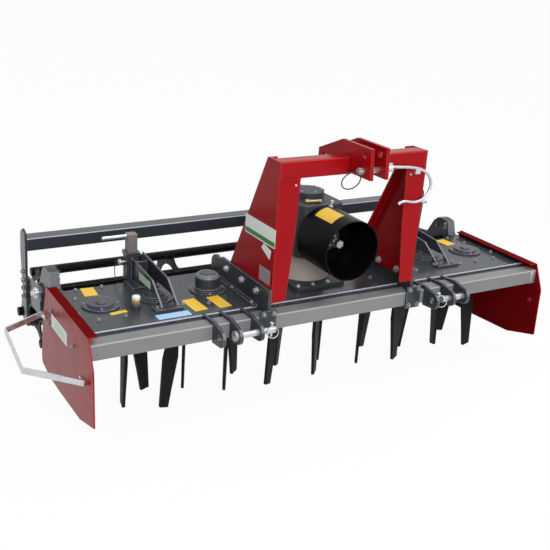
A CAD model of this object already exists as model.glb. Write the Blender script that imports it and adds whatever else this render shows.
import bmesh
import bpy
import math
from mathutils import Matrix, Vector


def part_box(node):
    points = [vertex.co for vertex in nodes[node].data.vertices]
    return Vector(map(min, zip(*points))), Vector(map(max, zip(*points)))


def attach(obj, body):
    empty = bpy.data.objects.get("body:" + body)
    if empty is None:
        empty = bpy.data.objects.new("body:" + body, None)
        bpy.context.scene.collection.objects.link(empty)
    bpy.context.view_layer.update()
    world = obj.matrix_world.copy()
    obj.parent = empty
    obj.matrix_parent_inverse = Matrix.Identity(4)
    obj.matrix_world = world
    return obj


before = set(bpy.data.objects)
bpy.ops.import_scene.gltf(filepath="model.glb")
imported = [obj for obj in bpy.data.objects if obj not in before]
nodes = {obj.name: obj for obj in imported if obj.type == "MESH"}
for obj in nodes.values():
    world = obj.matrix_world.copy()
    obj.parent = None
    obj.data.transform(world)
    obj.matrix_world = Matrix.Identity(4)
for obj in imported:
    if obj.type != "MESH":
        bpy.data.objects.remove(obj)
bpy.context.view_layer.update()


# Node trees


def add_node(tree, kind, settings=None, inputs=None):
    """A new node with its settings, and with values or links on its sockets."""
    made = tree.nodes.new(kind)
    for key, value in (settings or {}).items():
        setattr(made, key, value)
    for key, value in (inputs or {}).items():
        if isinstance(value, bpy.types.NodeSocket):
            tree.links.new(value, made.inputs[key])
        else:
            made.inputs[key].default_value = value
    return made


class Level:
    """A shader socket that can stand in sums; each sum adds its Math node."""

    def __init__(self, graph, socket):
        self.graph, self.socket = graph, socket

    def combined(self, operation, first, second):
        return self.graph.node("ShaderNodeMath", {"operation": operation}, {0: first, 1: second})

    def __add__(self, other):
        return self.combined("ADD", self, other)

    __radd__ = __add__

    def __sub__(self, other):
        return self.combined("SUBTRACT", self, other)

    def __rsub__(self, other):
        return self.combined("SUBTRACT", other, self)

    def __mul__(self, other):
        return self.combined("MULTIPLY", self, other)

    __rmul__ = __mul__


class Graph:
    """The shader tree of a material or of the world, emptied and filled node by node."""

    def __init__(self, owner):
        owner.use_nodes = True
        self.tree = owner.node_tree
        self.tree.nodes.clear()

    def node(self, kind, settings=None, inputs=None, output=0):
        plain = {k: v.socket if isinstance(v, Level) else v for k, v in (inputs or {}).items()}
        return Level(self, add_node(self.tree, kind, settings, plain).outputs[output])

    def end(self, kind, shader):
        add_node(self.tree, kind, None, {"Surface": shader.socket})

    def seen(self):
        """1 for camera, glossy and transmission rays, and 0 for the diffuse rays that light things."""
        rays = ("Is Camera Ray", "Is Glossy Ray", "Is Transmission Ray")
        straight, mirrored_ray, passed = (self.node("ShaderNodeLightPath", output=ray) for ray in rays)
        return straight + mirrored_ray + passed


class Finish(Graph):
    """One procedural material on Object coordinates."""

    def __init__(self, name):
        self.material = bpy.data.materials.new(name)
        super().__init__(self.material)
        self.place = self.node("ShaderNodeTexCoord", output="Object")

    def position(self, axis):
        return self.node("ShaderNodeSeparateXYZ", None, {0: self.place}, axis)

    def direction(self, axis):
        """How far the face looks along an axis, from -1 to 1."""
        normal = self.node("ShaderNodeNewGeometry", output="Normal")
        return self.node("ShaderNodeSeparateXYZ", None, {0: normal}, axis)

    def mix(self, share, first, second):
        colours = [c if isinstance(c, Level) else (*c, 1) for c in (first, second)]
        settings = {"data_type": "RGBA"}
        return self.node("ShaderNodeMix", settings, {0: share, 6: colours[0], 7: colours[1]}, 2)

    def noise(self, scale, detail=3, roughness=0.5, stretch=(1, 1, 1)):
        spread = self.node("ShaderNodeMapping", None, {"Vector": self.place, "Scale": stretch})
        inputs = {"Vector": spread, "Scale": scale, "Detail": detail, "Roughness": roughness}
        return self.node("ShaderNodeTexNoise", None, inputs)

    def step(self, value, low, high):
        """0 below low and 1 above high, with a soft rise between them."""
        inputs = {"Value": value, "From Min": low, "From Max": high}
        return self.node("ShaderNodeMapRange", {"interpolation_type": "SMOOTHSTEP"}, inputs)

    def edge(self, radius):
        """1 on sharp edges, 0 on flats, and the rounded normal itself."""
        rounded_normal = self.node("ShaderNodeBevel", {"samples": 6}, {"Radius": radius})
        flat_normal = self.node("ShaderNodeNewGeometry", output="Normal")
        settings = {"operation": "DOT_PRODUCT"}
        inputs = {0: rounded_normal, 1: flat_normal}
        match = self.node("ShaderNodeVectorMath", settings, inputs, "Value")
        return self.step(match, 0.98, 0.8), rounded_normal

    def bump(self, height, strength, distance, normal=None):
        inputs = {"Height": height, "Strength": strength, "Distance": distance}
        if normal is not None:
            inputs["Normal"] = normal
        return self.node("ShaderNodeBump", None, inputs)

    def principled(self, **inputs):
        named = {key.replace("_", " "): value for key, value in inputs.items()}
        return self.node("ShaderNodeBsdfPrincipled", None, named)

    def shown(self, shader):
        self.end("ShaderNodeOutputMaterial", shader)
        return self.material

    def surface(self, **inputs):
        return self.shown(self.principled(**inputs))


# Finishes


def toned(colour, share, rise=0.0):
    """A colour times a share, with a little grey added."""
    return tuple(share * c + rise for c in colour)


def paint(
    name, colour, worn, dust, roughness, gloss,
    dustiness=0.3, rounds=0.0, peel_depth=0.05, edge_radius=0.0025, rims=0.7, matt=None,
):
    """Sprayed paint: faint patches, orange peel, bright worn edges and bends, and dust on top.

    A matt colour, where given, covers the faces that look up or towards the middle of the machine.
    """
    look = Finish(name)
    patches = look.step(look.noise(2.3, 5, 0.6), 0.35, 0.7)
    peel = look.noise(900, 2)
    scuffs = look.step(look.noise(14, 6, 0.65, (1, 3.5, 1)), 0.58, 0.8)
    grime = look.step(look.noise(7, 6, 0.6), 0.42, 0.75)
    rim, rounded_normal = look.edge(edge_radius)
    upward = look.direction("Z")
    bends = look.step(upward, 0.15, 0.4) * look.step(upward, 0.95, 0.8)
    chips = look.step(look.noise(55, 5, 0.7), 0.42, 0.62)
    top = look.step(upward, 0.35, 0.95)
    shade = look.mix(patches * 0.55, colour, toned(colour, 0.8))
    shade = look.mix(scuffs * 0.16, shade, dust)
    shade = look.mix(top * grime * dustiness, shade, dust)
    shade = look.mix(bends * rounds, shade, worn)
    shade = look.mix(rim * (0.45 + 0.55 * chips) * rims, shade, worn)
    rough = roughness + 0.1 * grime + 0.12 * scuffs - 0.05 * patches
    normal = look.bump(peel + 0.6 * look.noise(240, 2), peel_depth, 0.0004, rounded_normal)
    shader = look.principled(Base_Color=shade, Roughness=rough, Normal=normal, Specular_IOR_Level=gloss)
    if matt is not None:
        inward = look.step(look.position("X") * look.direction("X"), -0.3, -0.7)
        covered = inward + look.step(upward, 0.5, 0.9)
        dull = look.mix(patches * 0.5 + 0.4 * grime, matt, toned(matt, 0.75))
        soft = look.principled(Base_Color=dull, Roughness=0.6, Normal=normal, Specular_IOR_Level=0.01)
        shader = look.node("ShaderNodeMixShader", None, {0: covered, 1: shader, 2: soft})
    return look.shown(shader)


def plated(name, colour, roughness, spangle=0.25):
    """Zinc, bright steel or brass with a soft mottled sheen."""
    look = Finish(name)
    mottle = look.step(look.noise(26, 5, 0.6), 0.35, 0.7)
    fine = look.noise(210, 4, 0.6)
    streaks = look.noise(90, 4, 0.6, (1, 1, 7))
    rim, rounded_normal = look.edge(0.0012)
    dull = toned(colour, 0.62)
    shade = look.mix(mottle * spangle, colour, dull)
    shade = look.mix(look.step(streaks, 0.5, 0.8) * 0.25, shade, dull)
    shade = look.mix(rim * 0.35, shade, (0.85, 0.86, 0.87))
    return look.surface(
        Base_Color=shade,
        Metallic=0.92 - 0.12 * mottle,
        Roughness=roughness + 0.14 * mottle + 0.06 * fine,
        Normal=look.bump(fine + 0.5 * streaks, 0.1, 0.0003, rounded_normal),
    )


def rolled_steel(name, colour, roughness):
    """Black forged or rolled steel with mill marks along its length."""
    look = Finish(name)
    scale = look.step(look.noise(38, 6, 0.7), 0.4, 0.72)
    marks = look.noise(70, 5, 0.6, (1, 1, 0.15))
    rim, rounded_normal = look.edge(0.002)
    shade = look.mix(scale * 0.35, colour, toned(colour, 2.6, 0.012))
    shade = look.mix(rim * 0.3, shade, (0.14, 0.135, 0.13))
    return look.surface(
        Base_Color=shade,
        Roughness=roughness + 0.18 * scale,
        Normal=look.bump(marks + 0.5 * scale, 0.2, 0.0008, rounded_normal),
        Specular_IOR_Level=0.08,
    )


def cast_paint(name, colour, outer, band, roughness):
    """Painted casting with a pebbly skin: one colour in a band of heights, another above and below."""
    look = Finish(name)
    height = look.position("Z")
    above = look.step(height, band[1] - 0.002, band[1] + 0.002)
    below = look.step(height, band[0], band[0] - 0.001)
    sand = look.noise(330, 5, 0.65)
    lumps = look.noise(36, 3, 0.5)
    grime = look.step(look.noise(8, 6, 0.6), 0.4, 0.75)
    rim, rounded_normal = look.edge(0.003)
    shade = look.mix(grime * 0.45, colour, toned(colour, 0.7))
    shade = look.mix(above + below, shade, outer)
    shade = look.mix(rim * 0.45, shade, (0.3, 0.3, 0.31))
    return look.surface(
        Base_Color=shade,
        Roughness=roughness + 0.12 * grime,
        Normal=look.bump(sand + 0.8 * lumps, 0.35, 0.0009, rounded_normal),
        Specular_IOR_Level=0.3,
    )


def moulded(name, colour, roughness, gloss=0.35):
    """Moulded plastic with a fine grain."""
    look = Finish(name)
    grain = look.noise(700, 3, 0.6)
    haze = look.step(look.noise(9, 4, 0.6), 0.4, 0.75)
    rim, rounded_normal = look.edge(0.0015)
    shade = look.mix(haze * 0.3, colour, toned(colour, 1.6, 0.004))
    shade = look.mix(rim * 0.35, shade, toned(colour, 1, 0.1))
    return look.surface(
        Base_Color=shade,
        Roughness=roughness + 0.1 * haze,
        Normal=look.bump(grain, 0.15, 0.0004, rounded_normal),
        Specular_IOR_Level=gloss,
    )


def film(name, colour):
    """Sticker film: even colour, slight handling marks."""
    look = Finish(name)
    marks = look.step(look.noise(30, 5, 0.6), 0.5, 0.8)
    fade = look.noise(11, 3, 0.5)
    return look.surface(
        Base_Color=look.mix(marks * 0.3 + 0.25 * fade, colour, toned(colour, 0.86)),
        Roughness=0.35 + 0.15 * marks,
        Normal=look.bump(look.noise(160, 2), 0.05, 0.0003),
        Specular_IOR_Level=0.3,
    )


GREY = (0.037, 0.041, 0.048)
grey_look = {
    "colour": GREY,
    "worn": (0.5, 0.52, 0.6),
    "dust": (0.11, 0.11, 0.115),
    "roughness": 0.2,
    "gloss": 0.24,
    "dustiness": 0.16,
}
beam_look = {
    "colour": (0.21, 0.208, 0.206),
    "worn": (0.55, 0.54, 0.58),
    "dust": (0.24, 0.23, 0.22),
    "roughness": 0.32,
    "gloss": 0.16,
}
tube_look = {
    "colour": (0.17, 0.155, 0.145),
    "worn": (0.42, 0.41, 0.4),
    "dust": (0.22, 0.21, 0.2),
    "roughness": 0.4,
    "gloss": 0.3,
}
red_look = {
    "colour": (0.3, 0.0038, 0.0066),
    "worn": (0.55, 0.09, 0.1),
    "dust": (0.26, 0.02, 0.02),
    "roughness": 0.25,
    "gloss": 0.1,
    "dustiness": 0.04,
    "rounds": 0.15,
    "peel_depth": 0.03,
}
gearbox_band = (0.517, 0.64)

frame_grey = paint("frame_grey", **grey_look, rounds=0.28, edge_radius=0.004, rims=0.9)
bend_grey = paint("bend_grey", **grey_look, rounds=0.8, edge_radius=0.006, rims=1.25)
beam_grey = paint("beam_grey", **beam_look, rounds=0.4)
tube_grey = paint("tube_grey", **tube_look)
red = paint("red_enamel", **red_look, edge_radius=0.004, rims=1.1)
plate_red = paint("plate_enamel", **red_look, matt=(0.15, 0.0025, 0.004))
gearbox_paint = cast_paint("gearbox_paint", (0.44, 0.395, 0.36), GREY, gearbox_band, 0.5)
shield_plastic = moulded("shield_plastic", (0.0026, 0.0022, 0.0026), 0.34, 0.06)
zinc = plated("zinc_plate", (0.62, 0.635, 0.66), 0.28, 0.35)
shaft_steel = plated("machined_steel", (0.42, 0.42, 0.43), 0.28, 0.2)
bolt_steel = plated("bolt_steel", (0.27, 0.28, 0.3), 0.36, 0.35)
black_paint = rolled_steel("black_paint", (0.0024, 0.0024, 0.0028), 0.38)
tine_black = rolled_steel("tine_black", (0.008, 0.008, 0.008), 0.44)
brass = plated("brass", (0.55, 0.4, 0.16), 0.3)
yellow_film = film("yellow_film", (0.83, 0.52, 0.03))
white_film = film("white_film", (0.74, 0.77, 0.73))
green_film = film("green_film", (0.03, 0.2, 0.045))
pale_green_film = film("pale_green_film", (0.5, 0.68, 0.55))
blue_film = film("blue_film", (0.36, 0.58, 0.8))
grey_film = film("grey_film", (0.28, 0.24, 0.25))
white_plastic = moulded("white_plastic", (0.7, 0.7, 0.68), 0.4)
wire_black = moulded("wire_black", (0.02, 0.02, 0.022), 0.4)

rotor_numbers = range(1, 10)
finish_of_nodes = (
    (
        frame_grey,
        (
            "gear_trough", "bearing_caps", "mast_plates", "lower_hitch_plates", "adjuster_towers",
            "roller_brackets", "roller_arms", "roller_posts", "beam_clamps",
        ),
    ),
    (bend_grey, ("trough_lid", "roller_tube")),
    (beam_grey, ("front_beam",)),
    (tube_grey, ("board_tubes",)),
    (red, ("columns", "cross_tube", "top_clevis")),
    (plate_red, ("side_plates",)),
    (gearbox_paint, ("gearbox",)),
    (shield_plastic, ("drive_shield",)),
    (
        zinc,
        (
            "guard_hoop", "top_link_pin", "lower_pin_left", "lower_pin_right", "roller_pivots",
            "cranks", "hanger_rod",
        ),
    ),
    (shaft_steel, ("input_shaft",)),
    (black_paint, ("levelling_board", "roller_shaft", "roller_discs", "roller_bars", "roller_bearings")),
    (black_paint, [f"rotor_holder_{n}" for n in rotor_numbers]),
    (tine_black, [f"tine_pair_{n}" for n in rotor_numbers]),
)
for finish, names in finish_of_nodes:
    for name in names:
        mesh = nodes[name].data
        mesh.materials.clear()
        mesh.materials.append(finish)


# Shapes


def add_object(name, data):
    """A new object of the scene that shows the data."""
    made = bpy.data.objects.new(name, data)
    bpy.context.scene.collection.objects.link(made)
    return made


def piece(name, body, bm, material):
    """A finished mesh that rides on a body, with its faces outwards and smooth up to 40 degrees."""
    bmesh.ops.remove_doubles(bm, verts=bm.verts, dist=1e-6)
    bmesh.ops.recalc_face_normals(bm, faces=bm.faces)
    for face in bm.faces:
        face.smooth = True
    for edge in bm.edges:
        edge.smooth = edge.is_manifold and edge.calc_face_angle(0) < math.radians(40)
    mesh = bpy.data.meshes.new(name)
    bm.to_mesh(mesh)
    bm.free()
    mesh.materials.append(material)
    made = add_object(name, mesh)
    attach(made, body)


def facing(direction, origin=(0, 0, 0), turn=0.0):
    """The matrix that points local Z along direction at origin."""
    z = Vector(direction).normalized()
    hint = Vector((0, 0, 1)) if abs(z.z) < 0.9 else Vector((0, 1, 0))
    x = hint.cross(z).normalized()
    basis = Matrix((x, z.cross(x), z)).transposed().to_4x4()
    return Matrix.Translation(origin) @ basis @ Matrix.Rotation(turn, 4, "Z")


def spots(radius, count, first_angle=0.0):
    """Even places round a circle as (across, along) pairs, the first at an angle in degrees."""
    start = math.radians(first_angle)
    angles = [start + math.tau * n / count for n in range(count)]
    return [(radius * math.cos(a), radius * math.sin(a)) for a in angles]


def ring_points(centre, across, along, radius=1.0):
    """Fourteen points of a ring whose plane and shape two directions give."""
    u, v = Vector(across), Vector(along)
    return [Vector(centre) + radius * (c * u + s * v) for c, s in spots(1, 14)]


def turned(bm, profile, matrix, steps=32):
    """Adds a shape turned round local Z from (radius, height) points, closed at both ends."""
    rings = []
    for radius, height in profile:
        corners = spots(radius, steps) if radius else [(0, 0)]
        rings.append([bm.verts.new(matrix @ Vector((x, y, height))) for x, y in corners])
    for low, high in zip(rings, rings[1:]):
        for n in range(steps):
            m = (n + 1) % steps
            corners = [low[n % len(low)], low[m % len(low)], high[m % len(high)], high[n % len(high)]]
            unique = list(dict.fromkeys(corners))
            if len(unique) > 2:
                bm.faces.new(unique)
    for ring in (rings[0], rings[-1]):
        if len(ring) > 1:
            bm.faces.new(ring)


def rod(bm, start, end, radius, steps=16):
    """Adds a round bar with softened ends between two points."""
    way = Vector(end) - Vector(start)
    soft = 0.15 * radius
    profile = [(radius - soft, 0), (radius, soft), (radius, way.length - soft), (radius - soft, way.length)]
    turned(bm, profile, facing(way, start), steps)


def collar(bm, direction, origin, radius, soft, height):
    """Adds a short disc with softened edges that stands on origin."""
    inner = radius - soft
    profile = [(inner, 0), (radius, 0.002), (radius, height - 0.002), (inner, height)]
    turned(bm, profile, facing(direction, origin), 20)


def prism(bm, points, reach):
    """Adds the solid that a flat outline of points sweeps along reach."""
    base = [bm.verts.new(Vector(p)) for p in points]
    raised = bmesh.ops.extrude_face_region(bm, geom=[bm.faces.new(base)])
    top = [v for v in raised["geom"] if isinstance(v, bmesh.types.BMVert)]
    bmesh.ops.translate(bm, verts=top, vec=Vector(reach))


def rounded(width, depth, corner):
    """The outline of a rectangle with round corners of five steps each, centred on zero."""
    steps = 5
    points = []
    for n, (sx, sy) in enumerate(((1, 1), (-1, 1), (-1, -1), (1, -1))):
        for k in range(steps + 1):
            a = math.pi / 2 * (n + k / steps)
            x = sx * (width / 2 - corner) + corner * math.cos(a)
            y = sy * (depth / 2 - corner) + corner * math.sin(a)
            points.append((x, y))
    return points


def wire(bm, points, radius, closed=False):
    """Adds a round wire along a smooth curve that the points guide."""
    curve = bpy.data.curves.new("line", "CURVE")
    curve.dimensions = "3D"
    spline = curve.splines.new("NURBS")
    spline.points.add(len(points) - 1)
    for p, co in zip(spline.points, points):
        p.co = (*co, 1)
    spline.order_u = 3
    spline.use_endpoint_u = not closed
    spline.use_cyclic_u = closed
    curve.resolution_u = 6
    curve.bevel_depth = radius
    curve.bevel_resolution = 2
    curve.use_fill_caps = True
    holder = add_object("line", curve)
    graph = bpy.context.evaluated_depsgraph_get()
    mesh = bpy.data.meshes.new_from_object(holder.evaluated_get(graph))
    bm.from_mesh(mesh)
    bpy.data.objects.remove(holder)
    bpy.data.curves.remove(curve)
    bpy.data.meshes.remove(mesh)


# Bolts

bolt_seed = 7


def bolt_tree():
    """Puts a hexagon head with its washer on each point, pointing along the point's facing."""
    tree = bpy.data.node_groups.new("bolts_on_points", "GeometryNodeTree")
    sockets = tree.interface
    sockets.new_socket("Geometry", in_out="INPUT", socket_type="NodeSocketGeometry")
    sizes = {"Head width": 0.019, "Head height": 0.0075, "Washer width": 0.026, "Washer height": 0.0025}
    for name, size in sizes.items():
        sockets.new_socket(name, in_out="INPUT", socket_type="NodeSocketFloat").default_value = size
    seed = sockets.new_socket("Seed", in_out="INPUT", socket_type="NodeSocketInt")
    seed.default_value = bolt_seed
    sockets.new_socket("Finish", in_out="INPUT", socket_type="NodeSocketMaterial")
    sockets.new_socket("Geometry", in_out="OUTPUT", socket_type="NodeSocketGeometry")

    def node(kind, settings=None, inputs=None, output=0):
        return add_node(tree, kind, settings, inputs).outputs[output]

    def total(first, second):
        return node("ShaderNodeMath", {"operation": "ADD"}, {0: first, 1: second})

    def times(socket, share):
        return node("ShaderNodeMath", {"operation": "MULTIPLY"}, {0: socket, 1: share})

    def disc(vertices, width, depth, height):
        """A disc of a number of corners with its middle at a height."""
        inputs = {"Vertices": vertices, "Radius": times(width, 0.5), "Depth": depth}
        shape = node("GeometryNodeMeshCylinder", None, inputs, "Mesh")
        place = node("ShaderNodeCombineXYZ", None, {"Z": height})
        return node("GeometryNodeTransform", None, {"Geometry": shape, "Translation": place})

    given = add_node(tree, "NodeGroupInput").outputs
    head_width, head_height = given["Head width"], given["Head height"]
    washer_width, washer_height = given["Washer width"], given["Washer height"]
    crown_depth = times(head_height, 0.16)
    head_middle = total(washer_height, times(head_height, 0.5))
    crown_middle = total(total(washer_height, head_height), times(crown_depth, 0.5))
    bolt = add_node(tree, "GeometryNodeJoinGeometry")
    for part in (
        disc(20, washer_width, washer_height, times(washer_height, 0.5)),
        disc(6, head_width, head_height, head_middle),
        disc(20, times(head_width, 0.84), crown_depth, crown_middle),
    ):
        tree.links.new(part, bolt.inputs[0])

    way = node("GeometryNodeInputNamedAttribute", {"data_type": "FLOAT_VECTOR"}, {"Name": "facing"})
    align = node("FunctionNodeAlignRotationToVector", {"axis": "Z"}, {"Vector": way})
    spin_inputs = {3: math.pi / 3, "Seed": given["Seed"]}
    spin = node("FunctionNodeRandomValue", {"data_type": "FLOAT"}, spin_inputs, 1)
    turn = node("FunctionNodeAxisAngleToRotation", None, {"Axis": (0, 0, 1), "Angle": spin})
    both = node("FunctionNodeRotateRotation", {"rotation_space": "LOCAL"}, {0: align, 1: turn})
    placing = {"Points": given["Geometry"], "Instance": bolt.outputs[0], "Rotation": both}
    placed = node("GeometryNodeInstanceOnPoints", None, placing)
    real = node("GeometryNodeRealizeInstances", None, {"Geometry": placed})
    finished = {"Geometry": real, "Material": given["Finish"]}
    painted = node("GeometryNodeSetMaterial", None, finished)
    add_node(tree, "NodeGroupOutput", None, {0: painted})
    return tree


bolts_on_points = bolt_tree()


def bolts(name, body, places, width, material=zinc, washer=1.35):
    """Bolt heads at (point, facing) places as one mesh on a body. Their turns go by the places' order."""
    mesh = bpy.data.meshes.new(name)
    mesh.from_pydata([tuple(p) for p, _ in places], [], [])
    ways = mesh.attributes.new("facing", "FLOAT_VECTOR", "POINT")
    ways.data.foreach_set("vector", [c for _, way in places for c in way])
    holder = add_object(name + "_points", mesh)
    modifier = holder.modifiers.new("bolts", "NODES")
    modifier.node_group = bolts_on_points
    wanted = {
        "Head width": width,
        "Head height": 0.4 * width,
        "Washer width": washer * width,
        "Washer height": 0.13 * width,
        "Seed": bolt_seed,
        "Finish": material,
    }
    for item in bolts_on_points.interface.items_tree:
        if item.in_out == "INPUT" and item.name in wanted:
            modifier[item.identifier] = wanted[item.name]
    graph = bpy.context.evaluated_depsgraph_get()
    made_mesh = bpy.data.meshes.new_from_object(holder.evaluated_get(graph))
    bpy.data.objects.remove(holder)
    made_mesh.name = name
    made = add_object(name, made_mesh)
    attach(made, body)


def all_facing(way, points):
    """Places of bolts that all point the same way."""
    return [(point, way) for point in points]


def mirrored(places):
    """Places given for the right side, made for the left side and then for the right."""
    return [
        ((side * x, y, z), (side * across, along, up))
        for side in signs
        for (x, y, z), (across, along, up) in places
    ]


# Directions, and places taken from the frame

UP, LEFT, RIGHT, FRONT = (0, 0, 1), (-1, 0, 0), (1, 0, 0), (0, -1, 0)
signs = (-1, 1)
lid_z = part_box("trough_lid")[1].z
outer_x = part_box("side_plates")[1].x
column_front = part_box("columns")[0].y
clamp_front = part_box("beam_clamps")[0].y
post_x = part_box("roller_posts")[1].x
pivot_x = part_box("roller_pivots")[1].x
cross_low, cross_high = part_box("cross_tube")
tube_low, tube_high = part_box("roller_tube")
beam_low, beam_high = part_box("front_beam")
clevis_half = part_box("top_clevis")[1].x

# Bolts of the lid and the cap rings

lid_front_y, lid_rear_y = -0.148, 0.19
lid_front_xs = (-1.06, -0.942, -0.803, -0.563, -0.29, 0.29, 0.563, 0.841, 0.943, 1.062)
lid_rear_xs = (-1.049, -0.929, -0.64, -0.36, -0.12, 0.12, 0.36, 0.64, 0.929, 1.049)
lid_end_x = 1.12
lid_bolts = all_facing(UP, [(x, lid_front_y, lid_z) for x in lid_front_xs])
lid_bolts += all_facing(UP, [(x, lid_rear_y, lid_z) for x in lid_rear_xs])
lid_bolts += mirrored(all_facing(UP, [(lid_end_x, -0.068, lid_z), (0.965 * lid_end_x, 0.095, lid_z)]))
bolts("lid_bolts", "frame", lid_bolts, 0.015, bolt_steel)

pitch = 0.25
cap_xs = [n * pitch for n in range(-4, 5) if n]
cap_flange_height = 0.007
cap_bolt_spots = spots(0.0705, 4, -15)
ring_bolts = [(x + u, v, lid_z + cap_flange_height) for x in cap_xs for u, v in cap_bolt_spots]
bolts("ring_bolts", "frame", all_facing(UP, ring_bolts), 0.0095, bolt_steel, washer=1.2)

# Bolts through the mast plates and column walls, with heads on both faces, and bolts of the feet

mast_x, mast_plate, column_wall = 0.371, 0.012, 0.008
mast_bolt_z = 0.569
mast_bolts = []
for y in (-0.243, -0.107, 0.038):
    mast_bolts.append(((mast_x + mast_plate, y, mast_bolt_z), RIGHT))
    mast_bolts.append(((mast_x - column_wall, y, mast_bolt_z), LEFT))
bolts("mast_bolts", "frame", mirrored(mast_bolts), 0.025)

foot_thickness = 0.01
foot_z = lid_z + foot_thickness
mast_feet = [(mast_x + 0.023, y, foot_z) for y in (-0.225, -0.04, 0.135)]
bolts("mast_foot_bolts", "frame", mirrored(all_facing(UP, mast_feet)), 0.015, bolt_steel)

# Bolts of the clamps, the side plates and the columns

clamp_bolts = [(x, clamp_front, z) for x in (0.361, 0.409) for z in (0.432, 0.506)]
bolts("clamp_bolts", "frame", mirrored(all_facing(FRONT, clamp_bolts)), 0.0165, bolt_steel)

side_plate = 0.006
side_bolts = [(outer_x, y, z) for y, z in ((-0.15, 0.405), (0.19, 0.366), (0.148, 0.438))]
red_y, red_z = -0.336, 0.331
red_bolts = [((outer_x, red_y, red_z), RIGHT), ((outer_x - side_plate, red_y, red_z), LEFT)]
bolts("side_bolts", "frame", mirrored(all_facing(RIGHT, side_bolts)), 0.016, bolt_steel)
bolts("side_red_bolts", "frame", mirrored(red_bolts), 0.016, red)
column_screws = mirrored([((0.291, column_front, 1.054), FRONT)])
bolts("column_screws", "frame", column_screws, 0.0075, washer=1.2)

# Bolts of the roller frame and of the adjuster towers

post_bolts = [(post_x, 0.609, z) for z in (0.455, 0.413, 0.372, 0.33)]
bolts("post_bolts", "roller_frame", mirrored(all_facing(RIGHT, post_bolts)), 0.02, bolt_steel)

pivot_y, pivot_z = 0.4, 0.425
pivot_nuts = mirrored([((pivot_x, pivot_y, pivot_z), RIGHT)])
bolts("pivot_nuts", "frame", pivot_nuts, 0.027, washer=1.25)

tower_bolt_inner_x, tower_bolt_outer_x = 0.682, 0.798
tower_bolt_front_y, tower_bolt_rear_y = -0.137, 0.185
tower_feet = [
    (tower_bolt_inner_x, tower_bolt_front_y, foot_z),
    (tower_bolt_outer_x, tower_bolt_front_y, foot_z),
    (tower_bolt_inner_x, tower_bolt_rear_y, foot_z),
]
bolts("tower_foot_bolts", "frame", mirrored(all_facing(UP, tower_feet)), 0.012, bolt_steel)

# Gearbox: flange bolts, cover bolts and the brass fitting on its top

gear_flange_z = 0.516
flange_bolts = [(x, y, gear_flange_z) for x in (-0.118, -0.04, 0.04, 0.118) for y in (-0.156, 0.149)]
flange_bolts += [(side * 0.126, y, gear_flange_z) for y in (-0.06, 0.05) for side in signs]
bolts("flange_bolts", "frame", all_facing(UP, flange_bolts), 0.015)

gear_top, gear_cover_height, gear_cover_y = 0.884, 0.034, 0.005
cover_z = gear_top + gear_cover_height
cover_bolts = [(u, gear_cover_y + v, cover_z) for u, v in spots(0.06, 6, 30)]
bolts("gear_cover_bolts", "frame", all_facing(UP, cover_bolts), 0.011, bolt_steel)

fitting_z = 0.893
fitting_ends = ((-0.07, -0.085), (-0.048, -0.091), (-0.012, -0.1), (0.004, -0.104))
fitting_line = [(x, y, fitting_z) for x, y in fitting_ends]
fitting_bars = ((0.0095, 6), (0.006, 16), (0.0085, 6))
bm = bmesh.new()
for start, end, (radius, corners) in zip(fitting_line, fitting_line[1:], fitting_bars):
    rod(bm, start, end, radius, corners)
piece("brass_fitting", "frame", bm, brass)

# Oil filler on the lid: neck, hexagon and cap, each as name, rise, profile, corners, finish and slot

filler_x, filler_y = -0.875, -0.088
neck_profile = [(0.018, 0), (0.018, 0.02), (0.0155, 0.024), (0.0155, 0.026)]
hexagon_profile = [(0.0185, 0), (0.0195, 0.001), (0.0195, 0.013), (0.0185, 0.014)]
cap_profile = [
    (0.0135, 0), (0.0135, 0.003), (0.018, 0.004), (0.0185, 0.008),
    (0.017, 0.016), (0.012, 0.0195), (0, 0.0205),
]
for name, rise, profile, corners, material, slot in (
    ("filler_neck", 0, neck_profile, 32, frame_grey, "grey_paint"),
    ("filler_hexagon", 0.026, hexagon_profile, 6, brass, "zinc"),
    ("filler_cap", 0.04, cap_profile, 32, white_plastic, "zinc"),
):
    bm = bmesh.new()
    turned(bm, profile, facing(UP, (filler_x, filler_y, lid_z + rise)), corners)
    piece(name, "frame", bm, material)

# Shield: a screw on its top, the screws of its back ring and blank patches

shaft_z = 0.745
screw_profile = [
    (0.011, 0), (0.011, 0.004), (0.006, 0.005), (0.006, 0.02),
    (0.0085, 0.021), (0.0085, 0.029), (0.004, 0.031),
]
screw_lean = (0.2, 0, 1)
bm = bmesh.new()
turned(bm, screw_profile, facing(screw_lean, (0.024, -0.152, 0.877)), 20)
piece("shield_screw", "frame", bm, zinc)

shield_back_y = -0.1462
shield_back = [(v, shield_back_y, shaft_z + u) for u, v in spots(0.09, 6, 8)]
bolts("shield_back_bolts", "frame", all_facing(FRONT, shield_back), 0.0125, washer=1.6)

shield_skin_radius, shield_film = 0.1352, 0.0005


def wrapped(name, angles, front, back, slant, material):
    """A blank patch wrapped round the shield between two angles, in degrees from its top."""
    steps = 14
    inside, outside = shield_skin_radius, shield_skin_radius + shield_film
    bm = bmesh.new()
    rows = []
    for n in range(steps + 1):
        a = math.radians(angles[0] + (angles[1] - angles[0]) * n / steps)
        shift = slant * (n / steps - 0.5)
        row = []
        for y, r in ((front, inside), (back, inside), (back, outside), (front, outside)):
            row.append(bm.verts.new((r * math.sin(a), y + shift, shaft_z + r * math.cos(a))))
        rows.append(row)
    for low, high in zip(rows, rows[1:]):
        for k in range(4):
            bm.faces.new([low[k], low[(k + 1) % 4], high[(k + 1) % 4], high[k]])
    bm.faces.new(rows[0])
    bm.faces.new(rows[-1])
    piece(name, "frame", bm, material)


wrapped("shield_patch", (-34, 0), -0.303, -0.172, 0.018, yellow_film)
wrapped("shield_strip", (24, 28), -0.287, -0.15, 0, yellow_film)


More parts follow.
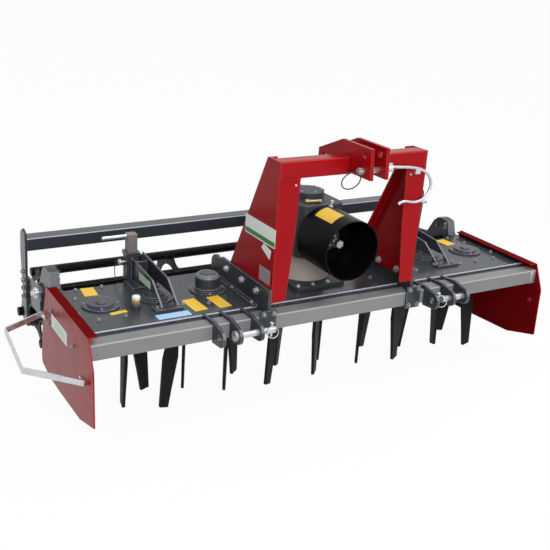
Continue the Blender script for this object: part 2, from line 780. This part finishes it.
# Blank patches on the lid, a column, a tower and a side plate

film_lift, film_thickness, second_film_lift = 0.0002, 0.0004, 0.0007
tower_outer_x = 0.78


def patch(name, centre, way, width, depth, corner, material, turn, lift, thickness):
    """A flat patch with round corners, a hair off the face that looks along way."""
    bm = bmesh.new()
    matrix = facing(way, Vector(centre) + lift * Vector(way), turn)
    outline = [matrix @ Vector((x, y, 0)) for x, y in rounded(width, depth, corner)]
    prism(bm, outline, matrix.to_3x3() @ Vector((0, 0, thickness)))
    piece(name, "frame", bm, material)


def lid_patch(name, x, y, width, depth, turn, material):
    """A patch on the lid, turned about its middle."""
    centre = (x, y, lid_z)
    patch(name, centre, UP, width, depth, 0.004, material, turn, film_lift, film_thickness)


def left_patch(name, x, ys, zs, material, lift=film_lift, thickness=film_thickness):
    """A patch on a face that looks left, from its Y and Z ends."""
    centre = (x, (ys[0] + ys[1]) / 2, (zs[0] + zs[1]) / 2)
    width, depth = abs(ys[1] - ys[0]), abs(zs[1] - zs[0])
    patch(name, centre, LEFT, width, depth, 0.003, material, 0.0, lift, thickness)


lid_patch("yellow_patch_1", -0.999, 0.154, 0.06, 0.094, math.pi - 0.09, yellow_film)
lid_patch("yellow_patch_2", -0.957, -0.102, 0.076, 0.024, math.pi + 0.12, yellow_film)
lid_patch("yellow_patch_3", -0.627, -0.142, 0.062, 0.13, 0.05, yellow_film)
lid_patch("yellow_patch_4", -0.514, -0.148, 0.06, 0.128, 0.05, yellow_film)
lid_patch("blue_patch", -0.755, -0.209, 0.15, 0.048, 0.0, blue_film)
lid_patch("yellow_patch_5", 0.992, 0.14, 0.058, 0.09, 0.09, yellow_film)
left_patch("column_panel", -mast_x, (-0.348, -0.09), (0.789, 0.871), white_film)
left_patch("column_panel_stripe", -mast_x, (-0.344, -0.094), (0.795, 0.815), green_film, second_film_lift)
tag_corners = ((-0.257, 0.788), (-0.32, 0.772), (-0.312, 0.731), (-0.238, 0.763))
bm = bmesh.new()
prism(bm, [(-mast_x - film_lift, y, z) for y, z in tag_corners], (-film_thickness, 0, 0))
piece("column_tag", "frame", bm, white_film)
left_patch("column_plate", -mast_x, (-0.325, -0.233), (0.619, 0.684), grey_film, thickness=0.001)
left_patch("tower_panel", -tower_outer_x, (-0.016, 0.117), (0.543, 0.578), pale_green_film)
left_patch("side_panel", -outer_x, (-0.07, 0.15), (0.366, 0.43), white_film)
left_patch("side_panel_band", -outer_x, (-0.045, 0.1), (0.379, 0.414), pale_green_film, second_film_lift)

# Weld beads of the headstock and of the roller tube


def weld(bm, start, end):
    """Adds a rippled weld bead between two points."""
    radius, ripple = 0.0034, 0.005
    way = Vector(end) - Vector(start)
    count = int(way.length / ripple)
    profile = [(radius * (1 if n % 2 else 0.8), way.length * n / count) for n in range(count + 1)]
    turned(bm, profile, facing(way, start), 10)


clevis_inner_x, clevis_seam_z, column_seam_x = 0.03, 1.094, 0.27
bm = bmesh.new()
for side in signs:
    for x in (side * clevis_inner_x, side * clevis_half):
        weld(bm, (x, cross_low.y, clevis_seam_z), (x, cross_low.y, cross_high.z))
        weld(bm, (x, cross_low.y, cross_high.z), (x, cross_high.y, cross_high.z))
    seam_end = (side * column_seam_x, column_front, cross_low.z)
    weld(bm, (side * mast_x, column_front, cross_low.z), seam_end)
piece("headstock_welds", "frame", bm, red)

seam_inset, seam_corner = 0.002, 0.006
seam_low_z, seam_high_z = tube_low.z + seam_corner, tube_high.z - seam_corner
bm = bmesh.new()
for x in (tube_low.x + seam_inset, tube_high.x - seam_inset):
    weld(bm, (x, tube_low.y, seam_low_z), (x, tube_low.y, seam_high_z))
    weld(bm, (x, tube_low.y + seam_corner, tube_high.z), (x, tube_high.y - seam_corner, tube_high.z))
    weld(bm, (x, tube_high.y, seam_low_z), (x, tube_high.y, seam_high_z))
piece("tube_welds", "roller_frame", bm, frame_grey)

# Strip at the right end of the beam, and the flattened feet of the hoop with their bolts

strip_left, strip_right = beam_high.x - 0.034, beam_high.x - 0.001
strip_low, strip_high = beam_low.z + 0.002, beam_high.z - 0.004
strip_corners = (
    (strip_left, strip_low), (strip_left, strip_high), (strip_right, strip_high), (strip_right, strip_low),
)
bm = bmesh.new()
prism(bm, [(x, beam_low.y - 0.0002, z) for x, z in strip_corners], (0, -0.0008, 0))
piece("beam_end_strip", "frame", bm, zinc)

hoop_foot_x, hoop_foot_thickness, hoop_foot_length = -outer_x - 0.0003, 0.006, 0.05
root_half, tip_half, hoop_bolt_reach = 0.013, 0.011, 0.03
hoop_bolts = []
bm = bmesh.new()
for y, z, way in ((-0.292, 0.308, 1), (0.282, 0.372, -1)):
    tip_y = y + way * hoop_foot_length
    corners = ((y, z - root_half), (y, z + root_half), (tip_y, z + tip_half), (tip_y, z - tip_half))
    prism(bm, [(hoop_foot_x, u, v) for u, v in corners], (-hoop_foot_thickness, 0, 0))
    hoop_bolts.append((hoop_foot_x - hoop_foot_thickness, y + way * hoop_bolt_reach, z))
piece("hoop_feet", "frame", bm, zinc)
bolts("hoop_bolts", "frame", all_facing(LEFT, hoop_bolts), 0.016)

# Linch pins of the lower link pins, with their rings

link_pin_y, link_pin_z = -0.412, 0.46
bm = bmesh.new()
for x in (-0.4, 0.486):
    rod(bm, (x, link_pin_y, link_pin_z - 0.03), (x, link_pin_y, link_pin_z + 0.034), 0.0048)
    collar(bm, UP, (x, link_pin_y, link_pin_z + 0.026), 0.009, 0.0025, 0.01)
piece("linch_pins", "frame", bm, zinc)
bm = bmesh.new()
for centre, size in (((-0.408, -0.436, 0.46), 0.025), ((0.482, -0.44, 0.464), 0.027)):
    wire(bm, ring_points(centre, (0.97, -0.24, 0), (0.1, 0.25, 0.96), size), 0.0023, closed=True)
piece("linch_rings", "frame", bm, shaft_steel)

# Ring that hangs from the top link pin, and the coil on the pin

top_pin_y, top_pin_z = -0.451, 1.12
bm = bmesh.new()
hanging = ring_points((-0.098, top_pin_y, 1.084), (0.046, 0, 0), (0, -0.01, 0.038))
wire(bm, hanging, 0.0026, closed=True)
piece("top_pin_ring", "frame", bm, wire_black)
coil_start_x, coil_step = -0.0635, 0.0017
bm = bmesh.new()
for k in range(5):
    centre = (coil_start_x + coil_step * k, top_pin_y, top_pin_z)
    wire(bm, ring_points(centre, (0, 1, 0), (0, 0, 1), 0.0148), 0.0011, closed=True)
piece("top_pin_coil", "frame", bm, shaft_steel)

# Locking pins of the adjuster towers with their wire loops

lock_x, lock_reach, lock_y, lock_z = 0.8, 0.02, 0.237, 0.588
bm = bmesh.new()
for side in signs:
    tip = (side * lock_x + side * lock_reach, lock_y, lock_z)
    rod(bm, (side * lock_x, lock_y, lock_z), tip, 0.0075)
    collar(bm, (side, 0, 0), tip, 0.0135, 0.0025, 0.011)
piece("lock_pins", "frame", bm, zinc)

loop_x, loop_end = 0.825, (0.222, 0.5)
loop_line = ((0.232, 0.592), (0.285, 0.586), (0.312, 0.525), (0.288, 0.478), (0.232, 0.482))
bm = bmesh.new()
for side in signs:
    x = side * loop_x
    wire(bm, [(x, y, z) for y, z in loop_line] + [(x - side * 0.02, *loop_end)], 0.0022)
piece("lock_pin_loops", "frame", bm, wire_black)

# Pins and bolts of the roller brackets

bm = bmesh.new()
for side in signs:
    rod(bm, (side * 1.117, 0.33, 0.513), (side * 1.073, 0.33, 0.549), 0.004)
piece("bracket_pins", "frame", bm, wire_black)
bracket_inner_x = 1.1
bracket_bolts = [(bracket_inner_x, y, z) for y, z in ((0.275, 0.53), (0.275, 0.552), (0.345, 0.53))]
bolts("bracket_bolts", "frame", mirrored(all_facing(LEFT, bracket_bolts)), 0.014, bolt_steel)


# Stage: a white floor and sky for the camera, with softer light from both on the machine

floor_finish = Finish("floor")
matt = floor_finish.node("ShaderNodeBsdfDiffuse", None, {"Color": (0.8, 0.8, 0.8, 1)})
bright = floor_finish.node("ShaderNodeEmission", None, {"Color": (1, 1, 1, 1), "Strength": 1.0})
floor_mix = {0: 0.95 * floor_finish.seen(), 1: matt, 2: bright}
bm = bmesh.new()
bmesh.ops.create_grid(bm, x_segments=1, y_segments=1, size=30)
floor_mesh = bpy.data.meshes.new("floor")
bm.to_mesh(floor_mesh)
bm.free()
floor_mesh.materials.append(floor_finish.shown(floor_finish.node("ShaderNodeMixShader", None, floor_mix)))
floor = add_object("floor", floor_mesh)

world = bpy.data.worlds.new("studio")
bpy.context.scene.world = world
sky = Graph(world)
soft = sky.node("ShaderNodeBackground", None, {"Color": (0.96, 0.98, 1, 1), "Strength": 0.55})
white = sky.node("ShaderNodeBackground", None, {"Color": (1, 1, 1, 1), "Strength": 1.0})
sky.end("ShaderNodeOutputWorld", sky.node("ShaderNodeMixShader", None, {0: sky.seen(), 1: soft, 2: white}))


def softbox(name, place, target, size, power):
    """A square area light that looks from its place at a target."""
    data = bpy.data.lights.new(name, "AREA")
    data.shape = "SQUARE"
    data.size = size
    data.energy = power
    lamp = add_object(name, data)
    lamp.location = place
    lamp.rotation_euler = (Vector(target) - Vector(place)).to_track_quat("-Z", "Y").to_euler()


softbox("key", (-1.5, -5.5, 3.4), (0, 0, 0.5), 3.0, 232)
softbox("edge", (2.2, -2.2, 4.2), (0, 0, 0.5), 1.2, 34)
softbox("top", (0.8, 0.5, 5.0), (0, 0, 0.4), 3.5, 90)

# Camera fitted to the photo: its place in metres, its angles in radians

camera_place = (-2.13185, -3.235285, 1.974735)
heading, tilt, roll = 0.493, 0.361, 0.049
camera_data = bpy.data.cameras.new("camera")
camera_data.sensor_width = 36
camera_data.lens = 57.10
camera_data.shift_x = 0.0838
camera_data.shift_y = -0.0132
camera = add_object("camera", camera_data)
bpy.context.scene.camera = camera
ahead = Vector((math.sin(heading) * math.cos(tilt), math.cos(heading) * math.cos(tilt), -math.sin(tilt)))
across = Vector((math.cos(heading), -math.sin(heading), 0))
above = across.cross(ahead)
right = math.cos(roll) * across + math.sin(roll) * above
top_side = -math.sin(roll) * across + math.cos(roll) * above
turn = Matrix((right, top_side, -ahead)).transposed().to_4x4()
camera.matrix_world = Matrix.Translation(camera_place) @ turn

bpy.context.scene.view_settings.view_transform = "Standard"
